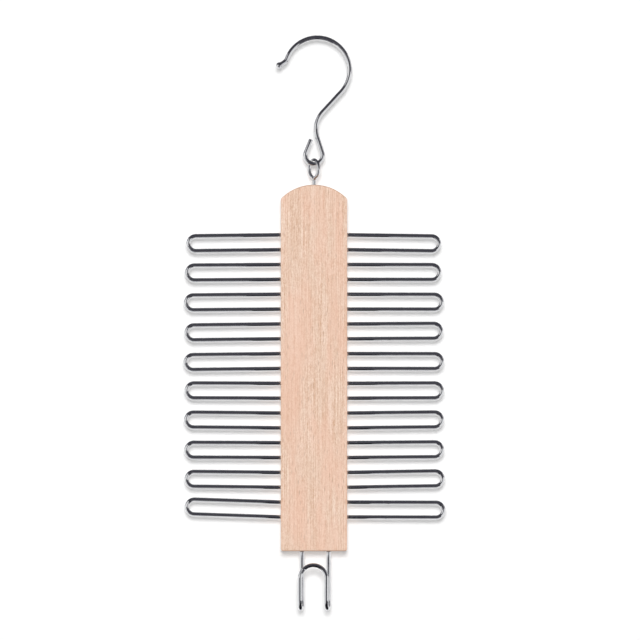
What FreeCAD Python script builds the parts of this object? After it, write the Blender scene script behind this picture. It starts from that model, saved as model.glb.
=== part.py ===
import FreeCAD, Part
import math
import os
import Sketcher

# Tie hanger: a beech board with ten chromed wire loops on each side, hung by a screw eye
# from an open rod hook, with a double wire hook under it.
# The frame: +X to the right, the front faces -Y, +Z up, origin on the axis of the closet rod.

# Driving dimensions, in millimetres and degrees
SIZES = {
    # Rod hook, bent in one plane from one wire
    "hook_wire": 3.0,
    "hook_radius": 23.1,
    "tip_rise_angle": 19.0,
    "kink_radius": 3.5,
    "kink_angle": 38.0,
    "tip_length": 4.6,
    "ball_diameter": 4.4,
    "neck_angle": 42.75,
    "neck_shift": 0.85,
    "neck_bend_radius": 18.0,
    "neck_straight": 0.7,
    "leg_bend_radius": 15.0,
    "leg_angle": 18.0,
    "leg_length": 12.1,
    "link_radius": 6.2,
    "end_leg_angle": 22.5,
    "end_leg_length": 9.6,
    # Screw eye, hung on the hook's lower loop
    "link_clearance": 0.3,
    "eye_wire": 2.2,
    "eye_radius": 6.3,
    "eye_turn_angle": 58.0,
    "eye_bend_radius": 3.0,
    "eye_end_angle": 10.0,
    "eye_stand": 5.2,
    "eye_depth": 16.0,
    "eye_point": 4.0,
    # Board
    "board_width": 47.3,
    "board_length": 261.0,
    "board_thickness": 14.0,
    "arch_radius": 33.0,
    "shoulder_radius": 3.0,
    "corner_radius": 1.6,
    "edge_radius": 1.2,
    # Tie loops, set in blind holes in the board's edges
    "loop_wire": 3.0,
    "loop_reach": 67.8,
    "reach_spread": 1.0,
    "loop_depth": 18.0,
    "loop_tilt_angle": 1.0,
    "first_leg": 35.8,
    "last_leg": 24.2,
    # Lower hook, set in blind holes in the board's bottom
    "lower_wire": 3.0,
    "lower_spacing": 18.9,
    "lower_shift": 0.9,
    "lower_drop": 34.8,
    "lower_bend_radius": 6.0,
    "lower_front_leg": 15.4,
    "lower_lean_angle": 6.6,
    "lower_depth": 20.0,
    # Fits of the wires in the wood
    "hole_clearance": 0.05,
    "hole_end_room": 0.5,
    "cut_overrun": 5.0,
}

LOOP_COUNT = 10

# How far each loop droops at its tip, from the top down, as shares of the tilt angle
LEFT_TILT_SHARES = (0.7, 0.4, 0.5, 0.7, 0.7, -0.2, -0.5, -0.2, -0.6, -1.9)
RIGHT_TILT_SHARES = (0.8, 0.1, 0.1, -0.3, 0.1, -0.2, -0.6, -0.5, -0.9, 0.2)

# How much further than the set reach each loop stands out, as shares of the spread
LEFT_REACH_SHARES = (-0.5, 0.5, 1.2, 0.8, 1.5, 0.8, 1.2, 1.0, 0.8, 0.6)
RIGHT_REACH_SHARES = (-0.9, -0.7, 1.0, 0.6, 1.2, 1.1, 1.2, 1.2, 1.7, 2.2)

# Turning sense of a bend, seen along the path
LEFT = 1
RIGHT = -1

# Places along the hook, worked down from the rod axis to the bottom of its lower loop
NECK_DROP = "(sizes.hook_radius / sin(sizes.neck_angle) + sizes.neck_shift / tan(sizes.neck_angle))"
NECK_SETBACK = "(sizes.neck_bend_radius * tan(sizes.neck_angle / 2))"
LEG_SETBACK = "(sizes.leg_bend_radius * tan(sizes.leg_angle / 2))"
LEG_REACH = f"({LEG_SETBACK} + sizes.leg_length)"
LINK_X = (
    f"(-sizes.neck_shift + {LEG_REACH} * sin(sizes.leg_angle)"
    " - sizes.link_radius * cos(sizes.leg_angle))"
)
LINK_Z = (
    f"(-{NECK_DROP} - {NECK_SETBACK} - sizes.neck_straight - {LEG_SETBACK}"
    f" - {LEG_REACH} * cos(sizes.leg_angle) - sizes.link_radius * sin(sizes.leg_angle))"
)
SEAT_Z = f"({LINK_Z} - sizes.link_radius)"

# Places below the seat: the eye's ring, and the top and bottom of the board
SEAT_RISE = "((sizes.hook_wire + sizes.eye_wire) / 2 + sizes.link_clearance)"
EYE_Z = f"({SEAT_Z} + {SEAT_RISE} - sizes.eye_radius)"
BOARD_TOP_Z = f"({EYE_Z} - sizes.eye_radius - sizes.eye_stand)"
BOARD_BOTTOM_Z = f"({BOARD_TOP_Z} - sizes.board_length)"

# The loops' legs share the board's edge evenly, from the first leg to the last
LEG_PITCH = f"((sizes.board_length - sizes.first_leg - sizes.last_leg) / {2 * LOOP_COUNT - 1})"

# Where the hook's wire starts, at the centre of its ball tip
TIP_HEADING = "(90 - sizes.tip_rise_angle - sizes.kink_angle)"
TIP_X = (
    "(-(sizes.hook_radius + sizes.kink_radius) * cos(sizes.tip_rise_angle)"
    f" + sizes.kink_radius * sin{TIP_HEADING} - sizes.tip_length * cos{TIP_HEADING})"
)
TIP_Z = (
    "((sizes.hook_radius + sizes.kink_radius) * sin(sizes.tip_rise_angle)"
    f" - sizes.kink_radius * cos{TIP_HEADING} - sizes.tip_length * sin{TIP_HEADING})"
)

# The eye's ring starts where the bend at the head of the shank runs into it
EYE_HEAD = "(sizes.eye_radius + sizes.eye_bend_radius)"
EYE_BEND_ANGLE = f"acos(sizes.eye_bend_radius / {EYE_HEAD})"
EYE_HEAD_HEIGHT = f"sqrt({EYE_HEAD} ^ 2 - sizes.eye_bend_radius ^ 2)"

doc = FreeCAD.newDocument("tie_hanger")
sheet = doc.addObject("Spreadsheet::Sheet", "sizes")
for row, (alias, number) in enumerate(SIZES.items(), start=1):
    sheet.set(f"A{row}", alias)
    sheet.set(f"B{row}", str(number))
    sheet.setAlias(f"B{row}", alias)
doc.recompute()


def value(formula):
    """Give the number that a formula on the sheet stands for."""
    found = sheet.evalExpression(formula)
    return float(getattr(found, "Value", found))


def bind(thing, **formulas):
    """Bind properties to formulas on the sheet; a double underscore stands for a dot."""
    for path, formula in formulas.items():
        thing.setExpression(path.replace("__", "."), formula)


def turn_about(axis):
    """Give a placement whose turn is about the axis, for an angle that is bound later."""
    return FreeCAD.Placement(FreeCAD.Vector(), FreeCAD.Rotation(axis, 1.0))


Y_AXIS = FreeCAD.Vector(0, 1, 0)
Z_AXIS = FreeCAD.Vector(0, 0, 1)


def new_body(name):
    """Start a body that is named for its piece."""
    body = doc.addObject("PartDesign::Body", name)
    body.Label = name
    return body


def origin_plane(body, role):
    """Find one of the body's own origin planes."""
    return [plane for plane in body.Origin.OriginFeatures if plane.Role == role][0]


def new_sketch(body, name, support):
    """Start a sketch on a plane of its own body."""
    sketch = body.newObject("Sketcher::SketchObject", name)
    sketch.AttachmentSupport = [(support, "")]
    sketch.MapMode = "FlatFace"
    return sketch


def dimension(sketch, name, kind, *references, formula):
    """Add a named dimension that is bound to a formula on the sheet."""
    start = value(formula)
    if kind == "Angle":
        start = math.radians(start)
    index = sketch.addConstraint(Sketcher.Constraint(kind, *references, start))
    sketch.renameConstraint(index, name)
    sketch.setExpression(f"Constraints.{name}", formula)


def run(length):
    """A straight stretch of wire."""
    return {"length": length}


def bend(radius, angle, sense):
    """A bend of the wire, with the radius of its centreline."""
    return {"radius": radius, "angle": angle, "sense": sense}


def draw_path(sketch, heading, steps):
    """Draw runs and bends from the sketch's origin, each tangent to the one before."""
    point = FreeCAD.Vector()
    course = math.radians(heading)
    last = None
    for number, step in enumerate(steps, start=1):
        if "length" in step:
            ahead = FreeCAD.Vector(math.cos(course), math.sin(course), 0)
            end = point + ahead * value(step["length"])
            piece = sketch.addGeometry(Part.LineSegment(point, end))
            first, final = 1, 2
            dimension(sketch, f"run_{number}", "Distance", piece, formula=step["length"])
        else:
            sense = step["sense"]
            radius = value(step["radius"])
            sweep = math.radians(value(step["angle"]))
            side = FreeCAD.Vector(-math.sin(course), math.cos(course), 0) * sense
            centre = point + side * radius
            begin = math.atan2(-side.y, -side.x)
            circle = Part.Circle(centre, Z_AXIS, radius)
            if sense == LEFT:
                arc = Part.ArcOfCircle(circle, begin, begin + sweep)
                first, final = 1, 2
            else:
                arc = Part.ArcOfCircle(circle, begin - sweep, begin)
                first, final = 2, 1
            piece = sketch.addGeometry(arc)
            dimension(sketch, f"radius_{number}", "Radius", piece, formula=step["radius"])
            dimension(sketch, f"sweep_{number}", "Angle", piece, formula=step["angle"])
            course += sense * sweep
            ahead = FreeCAD.Vector(math.cos(begin + sense * sweep), math.sin(begin + sense * sweep), 0)
            end = centre + ahead * radius
        if last is None:
            sketch.addConstraint(Sketcher.Constraint("Coincident", piece, first, -1, 1))
            level = "Horizontal" if heading == 0 else "Vertical"
            sketch.addConstraint(Sketcher.Constraint(level, piece))
        else:
            sketch.addConstraint(Sketcher.Constraint("Tangent", last[0], last[1], piece, first))
        last = (piece, final)
        point = end


def bent_wire(body, name, support, heading, steps, diameter):
    """Sweep a round wire along runs and bends drawn on the support, and give the drawn path."""
    path = new_sketch(body, f"{name}_path", support)
    draw_path(path, heading, steps)
    section = body.newObject("Sketcher::SketchObject", f"{name}_section")
    section.AttachmentSupport = [(path, "Edge1")]
    section.MapMode = "NormalToEdge"
    section.MapPathParameter = 0.0
    ring = section.addGeometry(Part.Circle(FreeCAD.Vector(), Z_AXIS, value(diameter) / 2))
    section.addConstraint(Sketcher.Constraint("Coincident", ring, 3, -1, 1))
    dimension(section, "wire", "Diameter", ring, formula=diameter)
    doc.recompute()
    sweep = body.newObject("PartDesign::AdditivePipe", f"{name}_wire")
    sweep.Profile = section
    sweep.Spine = (path, [])
    return path


def make_rod_hook():
    """The open hook: ball tip, rod bend, neck, and the lower loop that carries the eye."""
    body = new_body("rod_hook")
    front = origin_plane(body, "XZ_Plane")
    neck_run = (
        "(sizes.hook_radius * cos(sizes.neck_angle) + sizes.neck_shift) / sin(sizes.neck_angle)"
        f" - {NECK_SETBACK}"
    )
    steps = (
        run("sizes.tip_length"),
        bend("sizes.kink_radius", "sizes.kink_angle", LEFT),
        bend("sizes.hook_radius", "180 - sizes.tip_rise_angle + sizes.neck_angle", RIGHT),
        run(neck_run),
        bend("sizes.neck_bend_radius", "sizes.neck_angle", LEFT),
        run("sizes.neck_straight"),
        bend("sizes.leg_bend_radius", "sizes.leg_angle", LEFT),
        run("sizes.leg_length"),
        bend("sizes.link_radius", "180 + sizes.leg_angle + sizes.end_leg_angle", RIGHT),
        run("sizes.end_leg_length"),
    )
    path = bent_wire(body, "hook", front, 0, steps, "sizes.hook_wire")
    path.AttachmentOffset = turn_about(Z_AXIS)
    bind(
        path,
        AttachmentOffset__Base__x=TIP_X,
        AttachmentOffset__Base__y=TIP_Z,
        AttachmentOffset__Rotation__Angle=TIP_HEADING,
    )
    doc.recompute()
    ball = body.newObject("PartDesign::AdditiveSphere", "ball_tip")
    ball.AttachmentSupport = [(front, "")]
    ball.MapMode = "FlatFace"
    bind(
        ball,
        Radius="sizes.ball_diameter / 2",
        AttachmentOffset__Base__x=TIP_X,
        AttachmentOffset__Base__y=TIP_Z,
    )
    return body


def make_screw_eye():
    """The screw eye: a pointed shank whose wire turns into a round ring with a butted end."""
    body = new_body("screw_eye")
    front = origin_plane(body, "XZ_Plane")
    shank = f"sizes.eye_depth + sizes.eye_radius + sizes.eye_stand - {EYE_HEAD_HEIGHT}"
    steps = (
        run(shank),
        bend("sizes.eye_bend_radius", EYE_BEND_ANGLE, RIGHT),
        bend("sizes.eye_radius", f"(270 - sizes.eye_end_angle) * 1 deg + {EYE_BEND_ANGLE}", LEFT),
    )
    bent_wire(body, "eye", front, 90, steps, "sizes.eye_wire")
    doc.recompute()
    point = body.newObject("PartDesign::AdditiveCone", "screw_point")
    point.AttachmentSupport = [(origin_plane(body, "XY_Plane"), "")]
    point.MapMode = "FlatFace"
    point.Radius1 = 0
    bind(
        point,
        Radius2="sizes.eye_wire / 2",
        Height="sizes.eye_point",
        AttachmentOffset__Base__z="-sizes.eye_point",
    )
    body.Placement = turn_about(Z_AXIS)
    bind(
        body,
        Placement__Base__x=LINK_X,
        Placement__Base__z=f"{BOARD_TOP_Z} - sizes.eye_depth",
        Placement__Rotation__Angle="-sizes.eye_turn_angle",
    )
    return body


def loop_place(side, number, share):
    """Formulas for a loop's place at the board's edge, and for its turn about Y."""
    outward = "+" if side == "right" else "-"
    base_turn = 0 if side == "right" else 180
    drop = f"sizes.first_leg + {LEG_PITCH} * {2 * number + 0.5}"
    return {
        "Placement__Base__x": f"{LINK_X} {outward} sizes.board_width / 2",
        "Placement__Base__z": f"{BOARD_TOP_Z} - ({drop})",
        "Placement__Rotation__Angle": f"{base_turn} {outward} {share} * sizes.loop_tilt_angle",
    }


def each_loop():
    """Go through the loops of both sides, with each one's name, place and reach."""
    sides = (
        ("left", LEFT_TILT_SHARES, LEFT_REACH_SHARES),
        ("right", RIGHT_TILT_SHARES, RIGHT_REACH_SHARES),
    )
    for side, tilt_shares, reach_shares in sides:
        for number in range(LOOP_COUNT):
            place = loop_place(side, number, f"({tilt_shares[number]})")
            reach = f"(sizes.loop_reach + ({reach_shares[number]}) * sizes.reach_spread)"
            yield f"{side}_loop_{number + 1:02d}", place, reach


def make_tie_loop(name, place, reach):
    """A wire hairpin whose two legs stand in the board's edge."""
    body = new_body(name)
    leg = f"sizes.loop_depth + {reach} - sizes.loop_wire / 2 - {LEG_PITCH} / 2"
    steps = (
        run(leg),
        bend(f"{LEG_PITCH} / 2", "180", RIGHT),
        run(leg),
    )
    path = bent_wire(body, name, origin_plane(body, "XZ_Plane"), 0, steps, "sizes.loop_wire")
    bind(
        path,
        AttachmentOffset__Base__x="-sizes.loop_depth",
        AttachmentOffset__Base__y=f"{LEG_PITCH} / 2",
    )
    body.Placement = turn_about(Y_AXIS)
    bind(body, **place)
    return body


def make_lower_hook():
    """The lower hook: two legs that turn forward and up and join in an arch in front."""
    body = new_body("lower_hook")
    side_plane = origin_plane(body, "YZ_Plane")
    for side, outward in (("left", "-"), ("right", "")):
        leg_plane = body.newObject("PartDesign::Plane", f"{side}_leg_plane")
        leg_plane.AttachmentSupport = [(side_plane, "")]
        leg_plane.MapMode = "FlatFace"
        leg_plane.AttachmentOffset = turn_about(Y_AXIS)
        bind(
            leg_plane,
            AttachmentOffset__Base__z=f"{outward}sizes.lower_spacing / 2",
            AttachmentOffset__Rotation__Angle="-sizes.lower_lean_angle",
        )
        steps = (
            run("sizes.lower_depth + sizes.lower_drop"),
            bend("sizes.lower_bend_radius", "180", RIGHT),
        )
        path = bent_wire(body, f"{side}_leg", leg_plane, -90, steps, "sizes.lower_wire")
        bind(path, AttachmentOffset__Base__y="sizes.lower_depth")
    steps = (
        run("sizes.lower_front_leg"),
        bend("sizes.lower_spacing / 2", "180", RIGHT),
        run("sizes.lower_front_leg"),
    )
    arch = bent_wire(body, "arch", origin_plane(body, "XZ_Plane"), 90, steps, "sizes.lower_wire")
    bind(
        arch,
        AttachmentOffset__Base__x=(
            "-sizes.lower_spacing / 2 - 2 * sizes.lower_bend_radius * sin(sizes.lower_lean_angle)"
        ),
        AttachmentOffset__Base__y="-sizes.lower_drop",
        AttachmentOffset__Base__z="2 * sizes.lower_bend_radius * cos(sizes.lower_lean_angle)",
    )
    bind(
        body,
        Placement__Base__x=f"{LINK_X} + sizes.lower_shift",
        Placement__Base__z=BOARD_BOTTOM_Z,
    )
    return body


def draw_board_outline(sketch):
    """Draw the board with its arched top and eased corners, its apex at the sketch's origin."""
    half = value("sizes.board_width / 2")
    length = value("sizes.board_length")
    arch = value("sizes.arch_radius")
    shoulder = value("sizes.shoulder_radius")
    corner = value("sizes.corner_radius")
    shoulder_x = half - shoulder
    lean = math.acos(shoulder_x / (arch - shoulder))
    shoulder_y = (arch - shoulder) * math.sin(lean) - arch
    corner_x = half - corner
    corner_y = corner - length
    lines = (
        ((-half, shoulder_y), (-half, corner_y)),
        ((-corner_x, -length), (corner_x, -length)),
        ((half, corner_y), (half, shoulder_y)),
    )
    left, bottom, right = [
        sketch.addGeometry(Part.LineSegment(FreeCAD.Vector(*start, 0), FreeCAD.Vector(*end, 0)))
        for start, end in lines
    ]
    left_round, right_round = [
        sketch.addGeometry(Part.ArcOfCircle(
            Part.Circle(FreeCAD.Vector(centre_x, corner_y, 0), Z_AXIS, corner), start, start + math.pi / 2
        ))
        for centre_x, start in ((-corner_x, math.pi), (corner_x, math.pi * 3 / 2))
    ]
    right_centre = FreeCAD.Vector(shoulder_x, shoulder_y, 0)
    left_centre = FreeCAD.Vector(-shoulder_x, shoulder_y, 0)
    right_arc = Part.ArcOfCircle(Part.Circle(right_centre, Z_AXIS, shoulder), 0, lean)
    left_arc = Part.ArcOfCircle(Part.Circle(left_centre, Z_AXIS, shoulder), math.pi - lean, math.pi)
    top_arc = Part.ArcOfCircle(
        Part.Circle(FreeCAD.Vector(0, -arch, 0), Z_AXIS, arch), lean, math.pi - lean
    )
    right_shoulder = sketch.addGeometry(right_arc)
    top = sketch.addGeometry(top_arc)
    left_shoulder = sketch.addGeometry(left_arc)
    rules = (
        ("Tangent", left, 2, left_round, 1),
        ("Tangent", left_round, 2, bottom, 1),
        ("Tangent", bottom, 2, right_round, 1),
        ("Tangent", right_round, 2, right, 1),
        ("Tangent", right, 2, right_shoulder, 1),
        ("Tangent", right_shoulder, 2, top, 1),
        ("Tangent", top, 2, left_shoulder, 1),
        ("Tangent", left_shoulder, 2, left, 1),
        ("Horizontal", bottom),
        ("Vertical", left),
        ("Vertical", right),
        ("PointOnObject", top, 3, -2),
        ("PointOnObject", -1, 1, top),
        ("Equal", left_shoulder, right_shoulder),
        ("Equal", left_round, right_round),
    )
    for rule in rules:
        sketch.addConstraint(Sketcher.Constraint(*rule))
    dimension(sketch, "width", "DistanceX", left, 1, right, 2, formula="sizes.board_width")
    dimension(sketch, "arch", "Radius", top, formula="sizes.arch_radius")
    dimension(sketch, "shoulder", "Radius", right_shoulder, formula="sizes.shoulder_radius")
    dimension(sketch, "corner", "Radius", right_round, formula="sizes.corner_radius")
    dimension(sketch, "length", "DistanceY", bottom, 2, -1, 1, formula="sizes.board_length")


def make_board_blank():
    """The board before drilling, with its front and back edges rounded over."""
    body = new_body("board_blank")
    outline = new_sketch(body, "board_outline", origin_plane(body, "XZ_Plane"))
    draw_board_outline(outline)
    doc.recompute()
    pad = body.newObject("PartDesign::Pad", "board_pad")
    pad.Profile = outline
    pad.Midplane = True
    bind(pad, Length="sizes.board_thickness")
    doc.recompute()
    face_y = value("sizes.board_thickness / 2")
    rounded = []
    for index, edge in enumerate(pad.Shape.Edges, start=1):
        reach = [abs(vertex.Y) for vertex in edge.Vertexes]
        if min(reach) > face_y / 2 and abs(edge.CenterOfMass.y) > face_y / 2:
            rounded.append(f"Edge{index}")
    rounding = body.newObject("PartDesign::Fillet", "board_rounding")
    rounding.Base = (pad, rounded)
    bind(rounding, Radius="sizes.edge_radius")
    bind(body, Placement__Base__x=LINK_X, Placement__Base__z=BOARD_TOP_Z)
    return body


def make_drill(name, wire, depth):
    """A drill for a wire, along -Z from the surface, with an overrun above it."""
    drill = doc.addObject("Part::Cylinder", name)
    bind(
        drill,
        Radius=f"{wire} / 2 + sizes.hole_clearance",
        Height=f"{depth} + sizes.hole_end_room + sizes.cut_overrun",
    )
    return drill


def make_loop_drills(name, place):
    """The two holes for one loop's legs, drilled along the legs."""
    legs = []
    for leg, lift in (("upper", ""), ("lower", "-")):
        drill = make_drill(f"{name}_{leg}_drill", "sizes.loop_wire", "sizes.loop_depth")
        drill.Placement = FreeCAD.Placement(FreeCAD.Vector(), FreeCAD.Rotation(Y_AXIS, -90))
        bind(
            drill,
            Placement__Base__x="sizes.cut_overrun",
            Placement__Base__z=f"{lift}{LEG_PITCH} / 2",
        )
        legs.append(drill)
    pair = doc.addObject("Part::Compound", f"{name}_drills")
    pair.Links = legs
    pair.Placement = turn_about(Y_AXIS)
    bind(pair, **place)
    return pair


def make_eye_drill():
    """The pilot hole for the screw eye, down from the apex of the arch."""
    depth = "sizes.eye_depth + sizes.eye_point"
    drill = make_drill("eye_drill", "sizes.eye_wire", depth)
    bind(
        drill,
        Placement__Base__x=LINK_X,
        Placement__Base__z=f"{BOARD_TOP_Z} - ({depth}) - sizes.hole_end_room",
    )
    return drill


def make_lower_drills():
    """The two holes for the lower hook's legs, up from the board's bottom."""
    drills = []
    for side, outward in (("left", "-"), ("right", "+")):
        drill = make_drill(f"{side}_leg_drill", "sizes.lower_wire", "sizes.lower_depth")
        bind(
            drill,
            Placement__Base__x=f"{LINK_X} + sizes.lower_shift {outward} sizes.lower_spacing / 2",
            Placement__Base__z=f"{BOARD_BOTTOM_Z} - sizes.cut_overrun",
        )
        drills.append(drill)
    return drills


def make_board():
    """The board with its holes for the loops, the screw eye and the lower hook."""
    blank = make_board_blank()
    drills = [make_loop_drills(name, place) for name, place, reach in each_loop()]
    drills.append(make_eye_drill())
    drills.extend(make_lower_drills())
    holes = doc.addObject("Part::Compound", "board_holes")
    holes.Links = drills
    board = doc.addObject("Part::Cut", "board")
    board.Base = blank
    board.Tool = holes
    return board


def check_built(pieces):
    """Stop unless every object is sound and every piece is one valid solid."""
    for thing in doc.Objects:
        if "Invalid" in thing.State or "Error" in thing.State:
            raise RuntimeError(f"{thing.Label} failed: {thing.State}")
    for piece in pieces:
        shape = piece.Shape
        if shape.isNull() or not shape.isValid() or len(shape.Solids) != 1:
            raise RuntimeError(f"{piece.Label} is not one valid solid")


pieces = [make_rod_hook(), make_screw_eye(), make_board(), make_lower_hook()]
pieces.extend(make_tie_loop(name, place, reach) for name, place, reach in each_loop())
doc.recompute()
check_built(pieces)
os.makedirs("parts", exist_ok=True)
for piece in pieces:
    piece.Shape.exportStep(f"parts/{piece.Label}.step")
print("link axis at x", round(value(LINK_X), 3), "and z", round(value(SEAT_Z), 3))
print("board from z", round(value(BOARD_TOP_Z), 3), "to", round(value(BOARD_BOTTOM_Z), 3))
print("pieces", len(pieces))
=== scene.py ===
"""Dress the tie hanger: a beech board with chromed wire loops, hung from an open rod hook.

Sizes are in millimetres and degrees, as on the maker's drawing, and become metres where a mesh is made.
The frame: +X to the right, the front faces -Y, +Z up, origin on the axis of the closet rod.
"""

import logging
import math
from dataclasses import dataclass, field
from enum import Enum
from typing import Any, Iterator, Mapping, Optional, Sequence, Union

import bmesh
import bpy
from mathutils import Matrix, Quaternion, Vector


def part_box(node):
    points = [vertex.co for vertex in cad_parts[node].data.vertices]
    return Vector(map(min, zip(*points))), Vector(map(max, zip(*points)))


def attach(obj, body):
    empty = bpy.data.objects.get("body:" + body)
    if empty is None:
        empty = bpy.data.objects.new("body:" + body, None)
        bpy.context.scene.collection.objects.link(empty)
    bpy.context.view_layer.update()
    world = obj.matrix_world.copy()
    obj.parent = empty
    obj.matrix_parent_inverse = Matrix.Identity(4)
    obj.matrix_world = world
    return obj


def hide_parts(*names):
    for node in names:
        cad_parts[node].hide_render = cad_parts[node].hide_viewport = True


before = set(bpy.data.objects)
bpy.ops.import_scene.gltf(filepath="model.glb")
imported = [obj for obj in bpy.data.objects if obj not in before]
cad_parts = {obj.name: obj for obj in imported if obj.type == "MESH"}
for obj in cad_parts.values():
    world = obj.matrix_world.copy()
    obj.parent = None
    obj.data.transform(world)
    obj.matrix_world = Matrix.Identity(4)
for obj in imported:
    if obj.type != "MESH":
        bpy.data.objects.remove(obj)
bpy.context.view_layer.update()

MM = 0.001
LOG = logging.getLogger("tie_hanger")

Colour = tuple[float, float, float]
Corner = tuple[float, float, float]
Number = Union["Signal", float]
SocketKey = Union[str, int]

RIGHTWARD = Vector((1.0, 0.0, 0.0))
BACKWARD = Vector((0.0, 1.0, 0.0))
UPWARD = Vector((0.0, 0.0, 1.0))
ORIGIN = Vector((0.0, 0.0, 0.0))

# Angles, in degrees
QUARTER_TURN = 90.0
HALF_TURN = 180.0

# The level that a noise swings about
NOISE_MIDDLE = 0.5


class Body(Enum):
    """The two bodies of the hanger, which turn against each other in the link."""

    HOOK = "hook"
    RACK = "rack"


class Slot(Enum):
    """The finishes that the record names."""

    BEECH = "beech"
    CHROMED_WIRE = "chromed_wire"


class Side(Enum):
    """A side of the board."""

    LEFT = "left"
    RIGHT = "right"


class WireEnd(Enum):
    """How a wire ends."""

    CUT = "cut and deburred"
    POINT = "screw point"
    BALL = "ball tip"


class Signal:
    """A node's output that takes part in Python expressions."""

    def __init__(self, bench: "NodeBench", socket: Optional[bpy.types.NodeSocket]) -> None:
        """Keep the socket and the bench that its node stands on."""
        self.bench = bench
        self.socket = socket

    def out(self, name: str) -> "Signal":
        """Give another output of the same node."""
        return Signal(self.bench, self.socket.node.outputs[name])

    def _math(self, operation: str, first: Number, second: Number = 0.0) -> "Signal":
        """Add a Math node for two values."""
        return self.bench.add("ShaderNodeMath", {"operation": operation}, {0: first, 1: second})

    def __add__(self, other: Number) -> "Signal":
        """Add a value."""
        return self._math("ADD", self, other)

    def __radd__(self, other: Number) -> "Signal":
        """Add to a value."""
        return self._math("ADD", other, self)

    def __sub__(self, other: Number) -> "Signal":
        """Take a value away."""
        return self._math("SUBTRACT", self, other)

    def __rsub__(self, other: Number) -> "Signal":
        """Take away from a value."""
        return self._math("SUBTRACT", other, self)

    def __mul__(self, other: Number) -> "Signal":
        """Multiply by a value."""
        return self._math("MULTIPLY", self, other)

    def __rmul__(self, other: Number) -> "Signal":
        """Multiply a value."""
        return self._math("MULTIPLY", other, self)

    def __abs__(self) -> "Signal":
        """Drop the sign."""
        return self._math("ABSOLUTE", self)

    def at_least(self, other: Number) -> "Signal":
        """Give the larger of two values."""
        return self._math("MAXIMUM", self, other)

    def ramp(self, low: float, high: float) -> "Signal":
        """Rise smoothly from 0 to 1 between two levels, or fall where low is the larger.

        Args:
            low: The level that gives 0.
            high: The level that gives 1.

        Returns:
            The eased value.
        """
        levels = {"Value": self, "From Min": low, "From Max": high}
        return self.bench.add("ShaderNodeMapRange", {"interpolation_type": "SMOOTHSTEP"}, levels)


class NodeBench:
    """A node tree in the making."""

    # Sockets of a Mix node's colours, which share their names with those of its other modes
    MIX_FIRST = 6
    MIX_SECOND = 7
    MIX_RESULT = 2

    def __init__(self, tree: bpy.types.NodeTree) -> None:
        """Start with an empty tree."""
        self.tree = tree
        self.tree.nodes.clear()

    def add(
        self,
        kind: str,
        settings: Optional[Mapping[str, Any]] = None,
        inputs: Optional[Mapping[SocketKey, Any]] = None,
        output: SocketKey = 0,
    ) -> Signal:
        """Make one node.

        Args:
            kind: The node's type.
            settings: Its own settings, which come before its sockets.
            inputs: Values or signals for its sockets, by name or number.
            output: The socket to give back.

        Returns:
            The node's output, or an empty signal for a node that has none.
        """
        node = self.tree.nodes.new(kind)
        for name, value in (settings or {}).items():
            setattr(node, name, value)
        for key, value in (inputs or {}).items():
            socket = node.inputs[key]
            if isinstance(value, Signal):
                self.tree.links.new(value.socket, socket)
            else:
                socket.default_value = value
        return Signal(self, node.outputs[output] if node.outputs else None)

    def tint(self, share: Number, first: Union[Signal, Colour], second: Union[Signal, Colour]) -> Signal:
        """Mix two colours.

        Args:
            share: How much of the second colour shows.
            first: The colour at 0.
            second: The colour at 1.

        Returns:
            The mixed colour.
        """
        inputs = {"Factor": share, self.MIX_FIRST: first, self.MIX_SECOND: second}
        for key in (self.MIX_FIRST, self.MIX_SECOND):
            if not isinstance(inputs[key], Signal):
                inputs[key] = opaque(inputs[key])
        return self.add("ShaderNodeMix", {"data_type": "RGBA"}, inputs, self.MIX_RESULT)

    def stretched(self, place: Signal, across: float, along: float) -> Signal:
        """Scale a place so that one unit is this many millimetres, across in X and Y and along Z."""
        factors = tuple(1.0 / (size * MM) for size in (across, across, along))
        return self.add("ShaderNodeVectorMath", {"operation": "MULTIPLY"}, {0: place, 1: factors})

    def noise(self, vector: Signal, detail: float, roughness: float = 0.5) -> Signal:
        """Give a noise of about unit size."""
        inputs = {"Vector": vector, "Scale": 1.0, "Detail": detail, "Roughness": roughness}
        return self.add("ShaderNodeTexNoise", None, inputs)

    def bump(self, height: Signal, relief: float, strength: float) -> Signal:
        """Give the normals of a fine relief.

        Args:
            height: Its height, from 0 to 1.
            relief: How many millimetres a height of 1 stands out.
            strength: How much of it shows.

        Returns:
            The normals.
        """
        inputs = {"Strength": strength, "Distance": relief * MM, "Height": height}
        return self.add("ShaderNodeBump", None, inputs)

    def seen_plainly(self) -> Signal:
        """Give 1 for rays that show a background: from the camera, a mirror or glass."""
        path = self.add("ShaderNodeLightPath", output="Is Camera Ray")
        return path.at_least(path.out("Is Glossy Ray")).at_least(path.out("Is Transmission Ray"))


def opaque(colour: Colour) -> tuple[float, float, float, float]:
    """Give a colour its full alpha."""
    return (*colour, 1.0)


def new_material(name: str) -> tuple[bpy.types.Material, NodeBench]:
    """Start a material with an empty node tree."""
    material = bpy.data.materials.new(name)
    material.use_nodes = True
    return material, NodeBench(material.node_tree)


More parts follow.
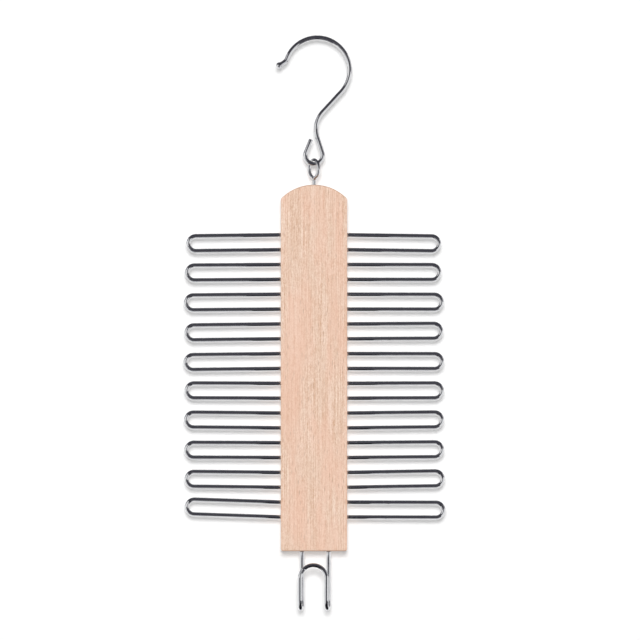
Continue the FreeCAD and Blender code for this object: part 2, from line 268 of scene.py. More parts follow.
@dataclass(frozen=True)
class Chrome:
    """Bright chrome on drawn steel wire, lightly handled."""

    bright: Colour = (0.70, 0.705, 0.72)
    dull: Colour = (0.63, 0.635, 0.66)
    bright_roughness: float = 0.05
    dull_roughness: float = 0.13
    smudge_size: float = 9.0
    smudge_detail: float = 4.0
    smudge_roughness: float = 0.6
    smudge_fade: tuple[float, float] = (0.4, 0.7)
    grain_size: float = 0.7
    grain_detail: float = 2.0
    grain_height: float = 0.004
    grain_strength: float = 0.35

    def make(self) -> bpy.types.Material:
        """Build the material.

        Returns:
            The finish for every wire of the hanger.
        """
        material, bench = new_material("bright_chrome")
        place = bench.add("ShaderNodeTexCoord", output="Object")
        smudge_place = bench.stretched(place, self.smudge_size, self.smudge_size)
        smudge = bench.noise(smudge_place, self.smudge_detail, self.smudge_roughness).ramp(*self.smudge_fade)
        grain = bench.noise(bench.stretched(place, self.grain_size, self.grain_size), self.grain_detail)
        shader = bench.add(
            "ShaderNodeBsdfPrincipled",
            None,
            {
                "Base Color": bench.tint(smudge, self.bright, self.dull),
                "Metallic": 1.0,
                "Roughness": self.bright_roughness + (self.dull_roughness - self.bright_roughness) * smudge,
                "Normal": bench.bump(grain, self.grain_height, self.grain_strength),
            },
        )
        bench.add("ShaderNodeOutputMaterial", None, {"Surface": shader})
        return material


@dataclass(frozen=True)
class Marks:
    """A layer of upright marks in wood: their size, what they count for, and the levels they fade in over."""

    across: float
    along: float
    share: float
    detail: float = 1.0
    fade: tuple[float, float] = (0.3, 0.7)

    def draw(self, bench: NodeBench, place: Signal) -> Signal:
        """Lay the marks.

        Args:
            bench: The material's tree.
            place: Where the marks are looked up.

        Returns:
            A level from 0 to the layer's share.
        """
        spot = bench.stretched(place, self.across, self.along)
        return self.share * bench.noise(spot, self.detail).ramp(*self.fade)


@dataclass(frozen=True)
class Beech:
    """Satin lacquered beech with its grain upright: lines, dashes and specks, rosy zones, ray flecks, and
    darker end grain whose mask also paints shade along the rounded top and bottom edges.
    """

    dark: Colour = (0.715, 0.440, 0.290)
    light: Colour = (1.000, 0.800, 0.675)
    lines: Marks = Marks(0.7, 70.0, share=0.42)
    dashes: Marks = Marks(0.65, 5.0, share=0.26)
    specks: Marks = Marks(0.6, 1.2, share=0.32)
    contrast: float = 0.95
    bolder: Marks = Marks(7.0, 30.0, share=0.5, detail=2.0, fade=(0.35, 0.65))
    rosy: Colour = (0.920, 0.575, 0.435)
    rosy_zones: Marks = Marks(12.0, 60.0, share=0.5, detail=3.0, fade=(0.35, 0.68))
    fleck: Colour = (0.560, 0.335, 0.225)
    fleck_share: float = 0.7
    fleck_cell: tuple[float, float] = (0.9, 6.5)
    fleck_fade: tuple[float, float] = (0.42, 0.12)
    empty_cells: float = 0.6
    # Darker end grain at the arch and the bottom; the same colour is painted as shade on the rounded edges
    # that face up or down
    end_grain_and_edge_shade: Colour = (0.640, 0.400, 0.270)
    end_and_edge_shade_share: float = 0.7
    end_and_edge_shade_fade: tuple[float, float] = (0.25, 0.85)
    waver: float = 1.2
    waver_size: tuple[float, float] = (16.0, 42.0)
    waver_detail: float = 2.0
    relief: float = 0.02
    relief_strength: float = 0.4
    roughness: float = 0.50
    fleck_gloss: float = 0.08
    specular: float = 0.25
    lacquer: float = 0.10
    lacquer_roughness: float = 0.3

    def make(self) -> bpy.types.Material:
        """Build the material.

        Returns:
            The finish for the board.
        """
        material, bench = new_material("satin_beech")
        coordinates = bench.add("ShaderNodeTexCoord", output="Object")
        place = self._wavering(bench, coordinates)
        lines, dashes, specks = (
            marks.draw(bench, place) for marks in (self.lines, self.dashes, self.specks)
        )
        contrast = self.contrast + self.bolder.draw(bench, place)
        grain = NOISE_MIDDLE + (lines + dashes + specks - NOISE_MIDDLE) * contrast
        flecks = self._flecks(bench, place)
        colour = bench.tint(grain, self.dark, self.light)
        colour = bench.tint(self.rosy_zones.draw(bench, place), colour, self.rosy)
        colour = bench.tint(self.fleck_share * flecks, colour, self.fleck)
        # Painted shade: darkens the end grain and, with it, the rounded top and bottom edges
        colour = bench.tint(self.end_and_edge_shade_share * self._end_and_edge_shade_mask(bench, coordinates), colour, self.end_grain_and_edge_shade)
        shader = bench.add(
            "ShaderNodeBsdfPrincipled",
            None,
            {
                "Base Color": colour,
                "Roughness": self.roughness - self.fleck_gloss * flecks,
                "Specular IOR Level": self.specular,
                "Coat Weight": self.lacquer,
                "Coat Roughness": self.lacquer_roughness,
                "Normal": bench.bump(grain - flecks, self.relief, self.relief_strength),
            },
        )
        bench.add("ShaderNodeOutputMaterial", None, {"Surface": shader})
        return material

    def _wavering(self, bench: NodeBench, place: Signal) -> Signal:
        """Shift a place a little to each side, so that the grain lines waver."""
        waver = bench.noise(bench.stretched(place, *self.waver_size), self.waver_detail)
        shift = bench.add("ShaderNodeCombineXYZ", None, {"X": (waver - NOISE_MIDDLE) * (self.waver * MM)})
        return bench.add("ShaderNodeVectorMath", {"operation": "ADD"}, {0: place, 1: shift})

    def _flecks(self, bench: NodeBench, place: Signal) -> Signal:
        """Strew lens-shaped flecks along the grain, one to a cell, and leave a share of the cells empty.

        Args:
            bench: The material's tree.
            place: The wavering place.

        Returns:
            The flecks' strength.
        """
        inputs = {"Vector": bench.stretched(place, *self.fleck_cell), "Scale": 1.0}
        cell = bench.add("ShaderNodeTexVoronoi", None, inputs, "Distance")
        chance = bench.add("ShaderNodeSeparateColor", None, {0: cell.out("Color")})
        return cell.ramp(*self.fleck_fade) * chance.ramp(self.empty_cells, 1.0)

    def _end_and_edge_shade_mask(self, bench: NodeBench, coordinates: Signal) -> Signal:
        """Give 1 where the board is cut across its grain, at the arch and the bottom, and part of 1 on the
        rounded edges that turn up or down, where it paints shade.
        """
        facing = bench.add("ShaderNodeSeparateXYZ", None, {0: coordinates.out("Normal")}, "Z")
        return abs(facing).ramp(*self.end_and_edge_shade_fade)


@dataclass(frozen=True)
class Paper:
    """White paper for the studio's sweep: it shows white and keeps the hanger's shadow."""

    white: Colour = (0.76, 0.76, 0.76)
    lift: float = 0.30

    def make(self) -> bpy.types.Material:
        """Build the material, which is see-through from behind.

        Returns:
            The finish for the sweep.
        """
        material, bench = new_material("white_paper")
        diffuse = bench.add("ShaderNodeBsdfDiffuse", None, {"Color": opaque(self.white)})
        glow = bench.add("ShaderNodeEmission", None, {"Strength": self.lift * bench.seen_plainly()})
        sheet = bench.add("ShaderNodeAddShader", None, {0: diffuse, 1: glow})
        clear = bench.add("ShaderNodeBsdfTransparent")
        behind = bench.add("ShaderNodeNewGeometry", output="Backfacing")
        shader = bench.add("ShaderNodeMixShader", None, {0: behind, 1: sheet, 2: clear})
        bench.add("ShaderNodeOutputMaterial", None, {"Surface": shader})
        return material


@dataclass(frozen=True)
class Flannel:
    """Cloth of the studio's flags and cards, of an even shade that no lamp changes."""

    name: str
    shade: Colour

    def make(self) -> bpy.types.Material:
        """Build the material.

        Returns:
            The finish for the flags or cards.
        """
        material, bench = new_material(self.name)
        shader = bench.add("ShaderNodeEmission", None, {"Color": opaque(self.shade), "Strength": 1.0})
        bench.add("ShaderNodeOutputMaterial", None, {"Surface": shader})
        return material


@dataclass
class Stretch:
    """One run or bend of a wire's centreline, in millimetres."""

    start: Vector
    heading: Vector
    length: float
    axis: Optional[Vector] = None
    radius: float = 0.0

    def turned(self, distance: float) -> Quaternion:
        """Give the turn of the wire after a distance along the stretch."""
        if self.axis is None:
            return Quaternion()
        return Quaternion(self.axis, distance / self.radius)

    def at(self, distance: float) -> Vector:
        """Give the point at a distance along the stretch."""
        if self.axis is None:
            return self.start + self.heading * distance
        centre = self.start + self.axis.cross(self.heading) * self.radius
        return centre + self.turned(distance) @ (self.start - centre)

    def heading_after(self) -> Vector:
        """Give the wire's direction at the end of the stretch."""
        return self.turned(self.length) @ self.heading


class WireLine:
    """The centreline of a wire, bent up as runs and bends from its first end."""

    def __init__(self, start: Vector, heading: Vector) -> None:
        """Start at a point, in a direction."""
        self.point = start.copy()
        self.heading = heading.normalized()
        self.length = 0.0
        self.stretches: list[Stretch] = []

    def _go_on(self, stretch: Stretch) -> "WireLine":
        """Take one more stretch and move on to its end."""
        self.stretches.append(stretch)
        self.point = stretch.at(stretch.length)
        self.heading = stretch.heading_after()
        self.length += stretch.length
        return self

    def run(self, length: float) -> "WireLine":
        """Go straight on."""
        return self._go_on(Stretch(self.point, self.heading, length))

    def bend(self, radius: float, angle: float, axis: Vector) -> "WireLine":
        """Bend about an axis.

        Args:
            radius: The radius of the bend's centreline.
            angle: How far the wire turns, in degrees.
            axis: The direction that it turns about, by the right hand.

        Returns:
            The line, to go on from.
        """
        length = radius * math.radians(angle)
        return self._go_on(Stretch(self.point, self.heading, length, axis.normalized(), radius))

    def at(self, distance: float) -> Vector:
        """Give the point at a distance from the first end."""
        for stretch in self.stretches:
            if distance <= stretch.length:
                return stretch.at(distance)
            distance -= stretch.length
        return self.point.copy()

    def stations(self, step: float) -> Iterator[float]:
        """Go through the distances that the swept wire needs a ring at.

        Args:
            step: The most that a bend turns between two rings, in degrees.

        Yields:
            Distances from the first end.
        """
        done = 0.0
        yield done
        for stretch in self.stretches:
            rings = 1
            if stretch.axis is not None:
                angle = math.degrees(stretch.length / stretch.radius)
                rings = max(1, math.ceil(angle / step))
            for ring in range(1, rings + 1):
                yield done + stretch.length * ring / rings
            done += stretch.length


@dataclass(frozen=True)
class WireStock:
    """Round wire of one gauge, and how its ends are finished."""

    diameter: float
    ease: float = 0.35
    ease_rings: int = 5
    sides: int = 28
    bend_step: float = 4.5
    point_length: float = 4.0
    point_flat: float = 0.08
    ball_diameter: float = 4.4
    ball_rings: int = 14
    ball_pole: float = 7.0

    def end_rings(self, end: WireEnd) -> list[tuple[float, float]]:
        """Shape a wire's end.

        Args:
            end: How the wire ends.

        Returns:
            Rings as the distance from the tip and the share of the wire's radius.
        """
        if end is WireEnd.POINT:
            return [(0.0, self.point_flat), (self.point_length, 1.0)]
        if end is WireEnd.BALL:
            ball = self.ball_diameter / 2
            neck = HALF_TURN - math.degrees(math.asin(self.diameter / 2 / ball))
            return self._rounded(ball, self.ball_pole, neck, self.ball_rings)
        return self._rounded(self.ease, 0.0, QUARTER_TURN, self.ease_rings)

    def _rounded(self, rounding: float, first: float, last: float, steps: int) -> list[tuple[float, float]]:
        """Round an end over.

        Args:
            rounding: The radius of the rounding.
            first: The angle off the wire's axis that it starts at, in degrees.
            last: The angle that it runs to.
            steps: How many steps it is made in.

        Returns:
            Rings as the distance from the tip and the share of the wire's radius.
        """
        radius = self.diameter / 2
        core = max(0.0, radius - rounding)
        angles = [math.radians(first + (last - first) * step / steps) for step in range(steps + 1)]
        return [
            (rounding * (math.cos(angles[0]) - math.cos(angle)), (core + rounding * math.sin(angle)) / radius)
            for angle in angles
        ]


class BentWireTree:
    """The geometry tree that sweeps round wire along a drawn centreline and puts it in its place."""

    SWELL = "swell"
    INPUTS = (
        ("Centreline", "NodeSocketGeometry"),
        ("Wire Diameter", "NodeSocketFloat"),
        ("Section Sides", "NodeSocketInt"),
        ("Place", "NodeSocketVector"),
        ("Turn", "NodeSocketFloat"),
        ("Finish", "NodeSocketMaterial"),
    )

    def __init__(self) -> None:
        """Build the tree with its named inputs."""
        self.tree = bpy.data.node_groups.new("bent_wire", "GeometryNodeTree")
        self.tree.is_modifier = True
        self.identifiers: dict[str, str] = {}
        for name, kind in self.INPUTS:
            socket = self.tree.interface.new_socket(name, in_out="INPUT", socket_type=kind)
            self.identifiers[name] = socket.identifier
        self.tree.interface.new_socket("Wire", in_out="OUTPUT", socket_type="NodeSocketGeometry")
        self._lay_nodes(NodeBench(self.tree))

    def _lay_nodes(self, bench: NodeBench) -> None:
        """Lay the nodes from the drawn line to the finished wire."""
        given = bench.add("NodeGroupInput")
        radius = given.out("Wire Diameter") * 0.5
        section = bench.add(
            "GeometryNodeCurvePrimitiveCircle",
            None,
            {"Resolution": given.out("Section Sides"), "Radius": radius},
        )
        swell = bench.add("GeometryNodeInputNamedAttribute", {"data_type": "FLOAT"}, {"Name": self.SWELL})
        line = bench.add("GeometryNodeMeshToCurve", None, {"Mesh": given.out("Centreline")})
        swept = bench.add(
            "GeometryNodeCurveToMesh",
            None,
            {"Curve": line, "Profile Curve": section, "Scale": swell, "Fill Caps": True},
        )
        turn = bench.add(
            "FunctionNodeAxisAngleToRotation",
            None,
            {"Axis": tuple(BACKWARD), "Angle": given.out("Turn")},
        )
        placed = bench.add(
            "GeometryNodeTransform",
            None,
            {"Geometry": swept, "Translation": given.out("Place"), "Rotation": turn},
        )
        smooth = bench.add("GeometryNodeSetShadeSmooth", None, {"Geometry": placed})
        realized = bench.add("GeometryNodeRealizeInstances", None, {"Geometry": smooth})
        dressed = bench.add(
            "GeometryNodeSetMaterial",
            None,
            {"Geometry": realized, "Material": given.out("Finish")},
        )
        bench.add("NodeGroupOutput", None, {"Wire": dressed})

    def _draw(self, name: str, line: WireLine, stock: WireStock, ends: Sequence[WireEnd]) -> bpy.types.Mesh:
        """Draw a centreline as a chain of points that carry the wire's swell.

        Args:
            name: The mesh's name.
            line: The centreline.
            stock: The wire.
            ends: How the wire starts and how it ends.

        Returns:
            The chain, in metres.
        """
        first, last = (stock.end_rings(end) for end in ends)
        rings = list(first)
        inner = (first[-1][0], line.length - last[-1][0])
        rings.extend((d, 1.0) for d in line.stations(stock.bend_step) if inner[0] < d < inner[1])
        rings.extend((line.length - d, share) for d, share in reversed(last))
        mesh = bpy.data.meshes.new(name)
        points = [line.at(distance) * MM for distance, _ in rings]
        mesh.from_pydata(points, [(i, i + 1) for i in range(len(points) - 1)], [])
        swell = mesh.attributes.new(self.SWELL, "FLOAT", "POINT")
        swell.data.foreach_set("value", [share for _, share in rings])
        return mesh

    def sweep(
        self,
        name: str,
        line: WireLine,
        stock: WireStock,
        finish: bpy.types.Material,
        ends: Sequence[WireEnd] = (WireEnd.CUT, WireEnd.CUT),
        place: Vector = ORIGIN,
        turn: float = 0.0,
    ) -> bpy.types.Object:
        """Make one wire piece as a plain mesh.

        Args:
            name: The piece's name.
            line: Its centreline, in its own place.
            stock: The wire.
            finish: Its material.
            ends: How the wire starts and how it ends.
            place: Where its own origin goes, in millimetres.
            turn: How far it is turned about the backward axis, in degrees.

        Returns:
            The piece, at the origin, with its place in its mesh.
        """
        piece = bpy.data.objects.new(name, self._draw(name, line, stock, ends))
        bpy.context.scene.collection.objects.link(piece)
        modifier = piece.modifiers.new("bent_wire", "NODES")
        modifier.node_group = self.tree
        modifier[self.identifiers["Wire Diameter"]] = stock.diameter * MM
        modifier[self.identifiers["Section Sides"]] = stock.sides
        modifier[self.identifiers["Place"]] = tuple(place * MM)
        modifier[self.identifiers["Turn"]] = math.radians(turn)
        modifier[self.identifiers["Finish"]] = finish
        settle(piece)
        return piece


def settle(piece: bpy.types.Object) -> None:
    """Turn what a piece's modifiers give into its plain mesh, closed and facing outwards."""
    graph = bpy.context.evaluated_depsgraph_get()
    evaluated = piece.evaluated_get(graph)
    mesh = bpy.data.meshes.new_from_object(evaluated, preserve_all_data_layers=True, depsgraph=graph)
    piece.modifiers.clear()
    piece.data = mesh
    if BentWireTree.SWELL in mesh.attributes:
        mesh.attributes.remove(mesh.attributes[BentWireTree.SWELL])
        shell = bmesh.new()
        shell.from_mesh(mesh)
        bmesh.ops.recalc_face_normals(shell, faces=shell.faces)
        shell.to_mesh(mesh)
        shell.free()


def hand_over(piece: bpy.types.Object, body: Body, slot: Slot, nodes: Sequence[str]) -> None:
    """Put a finished piece on its body, in place of its nodes.

    Args:
        piece: The piece.
        body: What it moves with.
        slot: The record's finish that it takes; not used.
        nodes: The nodes that it stands for.
    """
    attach(piece, body.value)
    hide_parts(*nodes)
    faces = len(piece.data.polygons)
    LOG.info("%s on %s: %d faces, for %s", piece.name, body.value, faces, ", ".join(nodes))


@dataclass
class RodHook:
    """The open hook, bent in one plane: ball tip, rod bend, neck, and the lower loop for the eye."""

    stock: WireStock = WireStock(3.0)
    rod_radius: float = 23.1
    tip_rise: float = 19.0
    kink_radius: float = 3.5
    kink_angle: float = 38.0
    tip_length: float = 4.6
    neck_angle: float = 42.75
    neck_shift: float = 0.85
    neck_radius: float = 18.0
    neck_straight: float = 0.7
    leg_radius: float = 15.0
    leg_angle: float = 18.0
    leg_length: float = 12.1
    link_radius: float = 6.2
    end_angle: float = 22.5
    end_length: float = 9.6

    def centreline(self) -> WireLine:
        """Bend the wire up from its ball tip.

        Returns:
            The hook's line, with the rod's axis at the origin.
        """
        rise = math.radians(self.tip_rise)
        course = math.radians(QUARTER_TURN - self.tip_rise - self.kink_angle)
        heading = Vector((math.cos(course), 0.0, math.sin(course)))
        kink = Vector((-math.cos(rise), 0.0, math.sin(rise))) * (self.rod_radius + self.kink_radius)
        kink_start = kink + BACKWARD.cross(heading) * self.kink_radius
        lead = self.tip_length + self.stock.ball_diameter / 2
        slope = math.radians(self.neck_angle)
        neck_run = (self.rod_radius * math.cos(slope) + self.neck_shift) / math.sin(slope)
        neck_run -= self.neck_radius * math.tan(slope / 2)
        line = WireLine(kink_start - heading * lead, heading)
        line.run(lead).bend(self.kink_radius, self.kink_angle, -BACKWARD)
        line.bend(self.rod_radius, HALF_TURN - self.tip_rise + self.neck_angle, BACKWARD)
        line.run(neck_run).bend(self.neck_radius, self.neck_angle, -BACKWARD)
        line.run(self.neck_straight).bend(self.leg_radius, self.leg_angle, -BACKWARD)
        line.run(self.leg_length)
        line.bend(self.link_radius, HALF_TURN + self.leg_angle + self.end_angle, BACKWARD)
        return line.run(self.end_length)

    def build(self, tree: BentWireTree, finish: bpy.types.Material) -> None:
        """Make the hook and hand it over."""
        ends = (WireEnd.BALL, WireEnd.CUT)
        piece = tree.sweep("open_rod_hook", self.centreline(), self.stock, finish, ends)
        hand_over(piece, Body.HOOK, Slot.CHROMED_WIRE, ["rod_hook"])


@dataclass
class Board:
    """The beech board with its arched top, rounded edges and drilled holes."""

    merge_distance: float = 0.001
    crease_angle: float = 30.0
    low: Vector = field(init=False)
    high: Vector = field(init=False)

    def __post_init__(self) -> None:
        """Take the board's corners from the frame, in millimetres."""
        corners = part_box("board")
        self.low, self.high = (corner / MM for corner in corners)

    @property
    def middle(self) -> float:
        """The X of the board's upright axis."""
        return (self.low.x + self.high.x) / 2

    def build(self, finish: bpy.types.Material) -> None:
        """Sew the drilled board's faces together, shade its roundings softly and hand it over."""
        mesh = bpy.data.meshes.new("beech_board")
        shell = bmesh.new()
        shell.from_mesh(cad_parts["board"].data)
        bmesh.ops.remove_doubles(shell, verts=shell.verts, dist=self.merge_distance * MM)
        crease = math.radians(self.crease_angle)
        for edge in shell.edges:
            edge.smooth = edge.calc_face_angle(math.pi) < crease
        for face in shell.faces:
            face.smooth = True
            face.material_index = 0
        shell.to_mesh(mesh)
        shell.free()
        piece = bpy.data.objects.new("beech_board", mesh)
        bpy.context.scene.collection.objects.link(piece)
        mesh.materials.append(finish)
        soften = piece.modifiers.new("soften", "WEIGHTED_NORMAL")
        soften.keep_sharp = True
        settle(piece)
        hand_over(piece, Body.RACK, Slot.BEECH, ["board"])


@dataclass
class ScrewEye:
    """The screw eye: a pointed shank whose wire turns into a round ring with a butted end."""

    stock: WireStock = WireStock(2.2)
    ring_radius: float = 6.3
    bend_radius: float = 3.0
    end_angle: float = 10.0
    turn: float = 58.0
    stand: float = 5.2
    depth: float = 16.0

    def centreline(self, board: Board) -> WireLine:
        """Bend the eye up from its point in the wood.

        Args:
            board: The board that it is screwed into.

        Returns:
            The eye's line.
        """
        head = self.ring_radius + self.bend_radius
        bend_angle = math.degrees(math.acos(self.bend_radius / head))
        lead = self.stock.point_length + self.depth + self.stand + self.ring_radius
        lead -= math.sqrt(head**2 - self.bend_radius**2)
        bottom = board.high.z - self.depth - self.stock.point_length
        across = Quaternion(UPWARD, math.radians(-self.turn)) @ BACKWARD
        line = WireLine(Vector((board.middle, 0.0, bottom)), UPWARD)
        line.run(lead).bend(self.bend_radius, bend_angle, across)
        ring_angle = HALF_TURN + QUARTER_TURN - self.end_angle + bend_angle
        return line.bend(self.ring_radius, ring_angle, -across)

    def build(self, tree: BentWireTree, board: Board, finish: bpy.types.Material) -> None:
        """Make the eye and hand it over."""
        ends = (WireEnd.POINT, WireEnd.CUT)
        piece = tree.sweep("eye_screw", self.centreline(board), self.stock, finish, ends)
        hand_over(piece, Body.RACK, Slot.CHROMED_WIRE, ["screw_eye"])


@dataclass
class TieLoops:
    """The wire hairpins for ties, ten on each edge of the board."""

    stock: WireStock = WireStock(3.0)
    reach: float = 67.8
    depth: float = 18.0
    first_leg: float = 35.8
    last_leg: float = 24.2
    droop: dict[Side, tuple[float, ...]] = field(
        default_factory=lambda: {
            Side.LEFT: (0.7, 0.4, 0.5, 0.7, 0.7, -0.2, -0.5, -0.2, -0.6, -1.9),
            Side.RIGHT: (0.8, 0.1, 0.1, -0.3, 0.1, -0.2, -0.6, -0.5, -0.9, 0.2),
        }
    )
    further: dict[Side, tuple[float, ...]] = field(
        default_factory=lambda: {
            Side.LEFT: (-0.5, 0.5, 1.2, 0.8, 1.5, 0.8, 1.2, 1.0, 0.8, 0.6),
            Side.RIGHT: (-0.9, -0.7, 1.0, 0.6, 1.2, 1.1, 1.2, 1.2, 1.7, 2.2),
        }
    )

    def pitch(self, board: Board) -> float:
        """Give the distance from leg to leg down the board's edge."""
        legs = 2 * len(self.droop[Side.LEFT])
        return (board.high.z - board.low.z - self.first_leg - self.last_leg) / (legs - 1)

    def hairpin(self, pitch: float, further: float) -> WireLine:
        """Bend one hairpin.

        Args:
            pitch: The distance between its legs.
            further: How much further than the set reach it stands out.

        Returns:
            Its line, pointing along +X from the board's edge at the origin.
        """
        leg = self.depth + self.reach + further - self.stock.diameter / 2 - pitch / 2
        line = WireLine(Vector((-self.depth, 0.0, pitch / 2)), RIGHTWARD)
        return line.run(leg).bend(pitch / 2, HALF_TURN, BACKWARD).run(leg)

    def build(self, tree: BentWireTree, board: Board, finish: bpy.types.Material) -> None:
        """Make the hairpins of both sides from the top down, and hand them over."""
        pitch = self.pitch(board)
        edges = {Side.LEFT: board.low.x, Side.RIGHT: board.high.x}
        for side in Side:
            for number, (droop, further) in enumerate(zip(self.droop[side], self.further[side])):
                line = self.hairpin(pitch, further)
                height = board.high.z - self.first_leg - pitch * (2 * number + 0.5)
                turn = droop if side is Side.RIGHT else HALF_TURN - droop
                label = f"{side.value}_tie_loop_{number + 1:02d}"
                place = Vector((edges[side], 0.0, height))
                piece = tree.sweep(label, line, self.stock, finish, place=place, turn=turn)
                hand_over(piece, Body.RACK, Slot.CHROMED_WIRE, [label.replace("_tie", "")])


@dataclass
class LowerHook:
    """The lower hook: two legs that turn forward and up and join in an arch in front."""

    stock: WireStock = WireStock(3.0)
    spacing: float = 18.9
    shift: float = 0.9
    drop: float = 34.8
    bend_radius: float = 6.0
    front_leg: float = 15.4
    lean: float = 6.6
    depth: float = 20.0

    def centreline(self, board: Board) -> WireLine:
        """Bend the hook from its left leg to its right one.

        Args:
            board: The board that both legs stand in.

        Returns:
            The hook's line.
        """
        half = self.spacing / 2
        start = Vector((board.middle + self.shift - half, 0.0, board.low.z + self.depth))
        across = Quaternion(UPWARD, math.radians(-self.lean)) @ RIGHTWARD
        line = WireLine(start, -UPWARD)
        line.run(self.depth + self.drop).bend(self.bend_radius, HALF_TURN, -across)
        line.run(self.front_leg).bend(half, HALF_TURN, BACKWARD).run(self.front_leg)
        return line.bend(self.bend_radius, HALF_TURN, across).run(self.drop + self.depth)

    def build(self, tree: BentWireTree, board: Board, finish: bpy.types.Material) -> None:
        """Make the hook and hand it over."""
        piece = tree.sweep("double_lower_hook", self.centreline(board), self.stock, finish)
        hand_over(piece, Body.RACK, Slot.CHROMED_WIRE, ["lower_hook"])


@dataclass(frozen=True)
class Lamp:
    """A soft far lamp, by where it stands as seen from the hanger."""

    name: str
    azimuth: float
    elevation: float
    level: float
    spread: float

    def build(self) -> None:
        """Hang the lamp; its own image stays out of the chrome."""
        light = bpy.data.lights.new(self.name, "SUN")
        light.energy = self.level * math.pi
        light.angle = math.radians(self.spread)
        lamp = bpy.data.objects.new(self.name, light)
        bpy.context.scene.collection.objects.link(lamp)
        turn = math.radians(self.azimuth)
        rise = math.radians(self.elevation)
        toward = Vector((math.sin(turn) * math.cos(rise), -math.cos(turn) * math.cos(rise), math.sin(rise)))
        lamp.rotation_mode = "QUATERNION"
        lamp.rotation_quaternion = toward.to_track_quat("Z", "Y")
        lamp.visible_glossy = False


def stage_sheet(
    name: str, faces: Sequence[Sequence[Vector]], finish: bpy.types.Material, stitch: float = 1.0
) -> bpy.types.Object:
    """Make a sheet of the studio, which is no part of the hanger.

    Args:
        name: The sheet's name.
        faces: Its faces by their corners, in millimetres.
        finish: Its material.
        stitch: How near corners lie that are joined, in millimetres.

    Returns:
        The sheet.
    """
    shell = bmesh.new()
    for corners in faces:
        shell.faces.new([shell.verts.new(corner * MM) for corner in corners])
    bmesh.ops.remove_doubles(shell, verts=shell.verts, dist=stitch * MM)
    mesh = bpy.data.meshes.new(name)
    shell.to_mesh(mesh)
    shell.free()
    mesh.materials.append(finish)
    sheet = bpy.data.objects.new(name, mesh)
    bpy.context.scene.collection.objects.link(sheet)
    return sheet


@dataclass(frozen=True)
class Screens:
    """Flags or cards of one cloth, which only the chrome mirrors, by their corners in millimetres."""

    name: str
    cloth: Flannel
    sheets: tuple[tuple[Corner, ...], ...]

    def build(self) -> None:
        """Hang the sheets out of the camera's sight, where they neither light nor shade anything."""
        faces = [[Vector(corner) for corner in corners] for corners in self.sheets]
        screens = stage_sheet(self.name, faces, self.cloth.make())
        screens.visible_camera = False
        screens.visible_diffuse = False
        screens.visible_shadow = False


# What gives the chrome its dark lines
DARK_FLAGS = Screens(
    "dark_flags",
    Flannel("dark_flannel", (0.080, 0.078, 0.092)),
    (
        # In front, leaning out to the left towards the top and cut away at the lower right
        (
            (-115, -1500, -325),
            (800, -1500, -325),
            (1500, -1500, -60),
            (1500, -1500, 800),
            (-1300, -1500, 800),
        ),
        # To the right
        ((1500, -1500, -60), (1500, -300, -60), (1500, -300, 800), (1500, -1500, 800)),
        # In front, below the board, spreading out towards the floor
        (
            (-1500, -1500, -1900),
            (1330, -1500, -1900),
            (450, -1500, -643),
            (800, -1500, -325),
            (-1500, -1500, -325),
        ),
        # Overhead
        ((-1386, -1500, 800), (1500, -1500, 800), (1500, 1500, 800), (-1386, 1500, 800)),
        # On the floor
        ((-1500, -1500, -1899), (1330, -1500, -1899), (1330, -730, -1899), (-1500, -730, -1899)),
        # Small and close: to the lower right of the lower hook, and in front of its legs
        ((45, -150, -408), (45, 0, -408), (45, 0, -385), (45, -150, -385)),
        ((-60, -60, -354), (-3, -60, -354), (-3, -60, -340), (-60, -60, -340)),
        # Small and close, inside the rod bend
        ((-5, -10, -8), (7, -10, -8), (7, 30, -8), (-5, 30, -8)),
    ),
)

# What blackens the bends of the lower hook
BLACK_FLAGS = Screens(
    "black_flags",
    Flannel("black_velvet", (0.010, 0.010, 0.014)),
    (
        # Small and close, under the lower hook
        ((-32, -250, -402), (30, -250, -402), (30, 8, -402), (-32, 8, -402)),
    ),
)

# What gives the chrome its softer rims
GREY_CARDS = Screens(
    "grey_cards",
    Flannel("grey_flannel", (0.400, 0.400, 0.420)),
    (
        # High to the left
        ((-1500, -1200, 300), (-1500, 260, 300), (-1500, 260, 1600), (-1500, -1200, 1600)),
        # Behind the rod hook, to the left and to the right
        ((-1500, 260, -170), (-1500, 2600, -170), (-1500, 2600, 1600), (-1500, 260, 1600)),
        ((1500, 260, -170), (1500, 2600, -170), (1500, 2600, 1600), (1500, 260, 1600)),
    ),
)


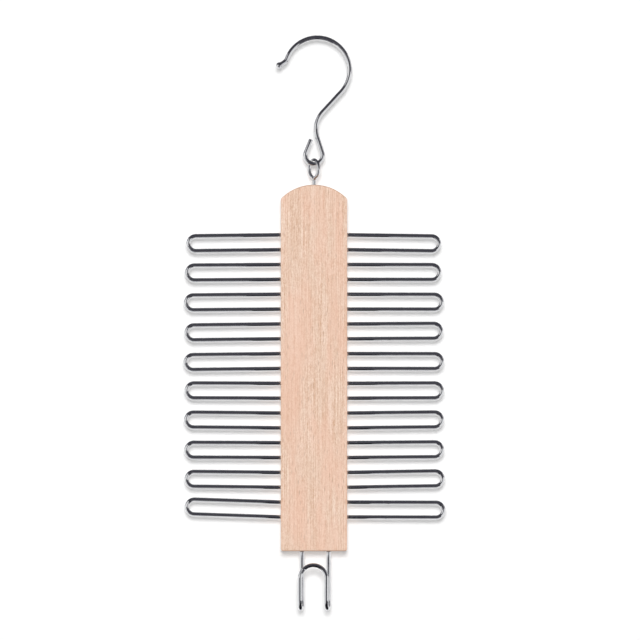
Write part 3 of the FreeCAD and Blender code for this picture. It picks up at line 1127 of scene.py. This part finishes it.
@dataclass
class Studio:
    """The white sweep behind the hanger, lamps, camera, and the flags and cards that the chrome mirrors."""

    lamps: tuple[Lamp, ...] = (
        Lamp("key_lamp", azimuth=-0.3, elevation=9.2, level=0.75, spread=12.4),
        Lamp("left_lamp", azimuth=-95.0, elevation=10.0, level=0.28, spread=20.0),
        Lamp("right_lamp", azimuth=95.0, elevation=10.0, level=0.28, spread=20.0),
        Lamp("back_lamp", azimuth=180.0, elevation=12.0, level=0.35, spread=20.0),
    )
    screens: tuple[Screens, ...] = (DARK_FLAGS, BLACK_FLAGS, GREY_CARDS)
    sky: Colour = (1.0, 1.0, 1.0)
    sky_level: float = 0.23
    camera_place: Vector = field(default_factory=lambda: Vector((2.0, -18000.0, -178.2)))
    camera_lens: float = 1421.1
    camera_sensor: float = 36.0
    camera_reach: float = 40000.0
    wall_gap: float = 10.0
    sweep_half_width: float = 2500.0
    sweep_top: float = 1600.0
    sweep_floor: float = -1900.0
    sweep_front: float = -2600.0
    sweep_radius: float = 300.0
    sweep_rings: int = 8

    def build(self) -> None:
        """Set up the camera, the light, the sweep, the flags and the cards."""
        scene = bpy.context.scene
        scene.view_settings.view_transform = "Standard"
        self._place_camera(scene)
        self._light_world(scene)
        for lamp in self.lamps:
            lamp.build()
        self._hang_sweep()
        for screens in self.screens:
            screens.build()

    def _place_camera(self, scene: bpy.types.Scene) -> None:
        """Stand the camera square in front of the hanger."""
        data = bpy.data.cameras.new("camera")
        data.lens = self.camera_lens
        data.sensor_width = self.camera_sensor
        data.clip_end = self.camera_reach * MM
        camera = bpy.data.objects.new("camera", data)
        camera.location = self.camera_place * MM
        camera.rotation_euler = (math.radians(QUARTER_TURN), 0.0, 0.0)
        scene.collection.objects.link(camera)
        scene.camera = camera

    def _light_world(self, scene: bpy.types.Scene) -> None:
        """Give an even pale sky that shows as white."""
        world = bpy.data.worlds.new("pale_sky")
        world.use_nodes = True
        bench = NodeBench(world.node_tree)
        strength = self.sky_level + (1.0 - self.sky_level) * bench.seen_plainly()
        sky = bench.add("ShaderNodeBackground", None, {"Color": opaque(self.sky), "Strength": strength})
        bench.add("ShaderNodeOutputWorld", None, {"Surface": sky})
        scene.world = world

    def _hang_sweep(self) -> None:
        """Hang the white sweep just behind the board and lead it into a floor far below."""
        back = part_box("board")[1].y / MM + self.wall_gap
        profile = [Vector((0.0, back, self.sweep_top))]
        for ring in range(self.sweep_rings + 1):
            angle = math.pi / 2 * ring / self.sweep_rings
            drop = self.sweep_radius * (1.0 - math.sin(angle))
            shift = self.sweep_radius * (1.0 - math.cos(angle))
            profile.append(Vector((0.0, back - shift, self.sweep_floor + drop)))
        profile.append(Vector((0.0, self.sweep_front, self.sweep_floor)))
        left = RIGHTWARD * -self.sweep_half_width
        right = RIGHTWARD * self.sweep_half_width
        faces = [(a + left, b + left, b + right, a + right) for a, b in zip(profile, profile[1:])]
        sweep = stage_sheet("white_sweep", faces, Paper().make())
        sweep.visible_diffuse = False
        sweep.visible_glossy = False
        sweep.visible_shadow = False


def main() -> None:
    """Build the studio and the hanger, from the hook down."""
    logging.basicConfig(level=logging.INFO, format="%(name)s: %(message)s")
    Studio().build()
    chrome = Chrome().make()
    tree = BentWireTree()
    board = Board()
    RodHook().build(tree, chrome)
    ScrewEye().build(tree, board, chrome)
    board.build(Beech().make())
    TieLoops().build(tree, board, chrome)
    LowerHook().build(tree, board, chrome)


if __name__ == "__main__":
    main()
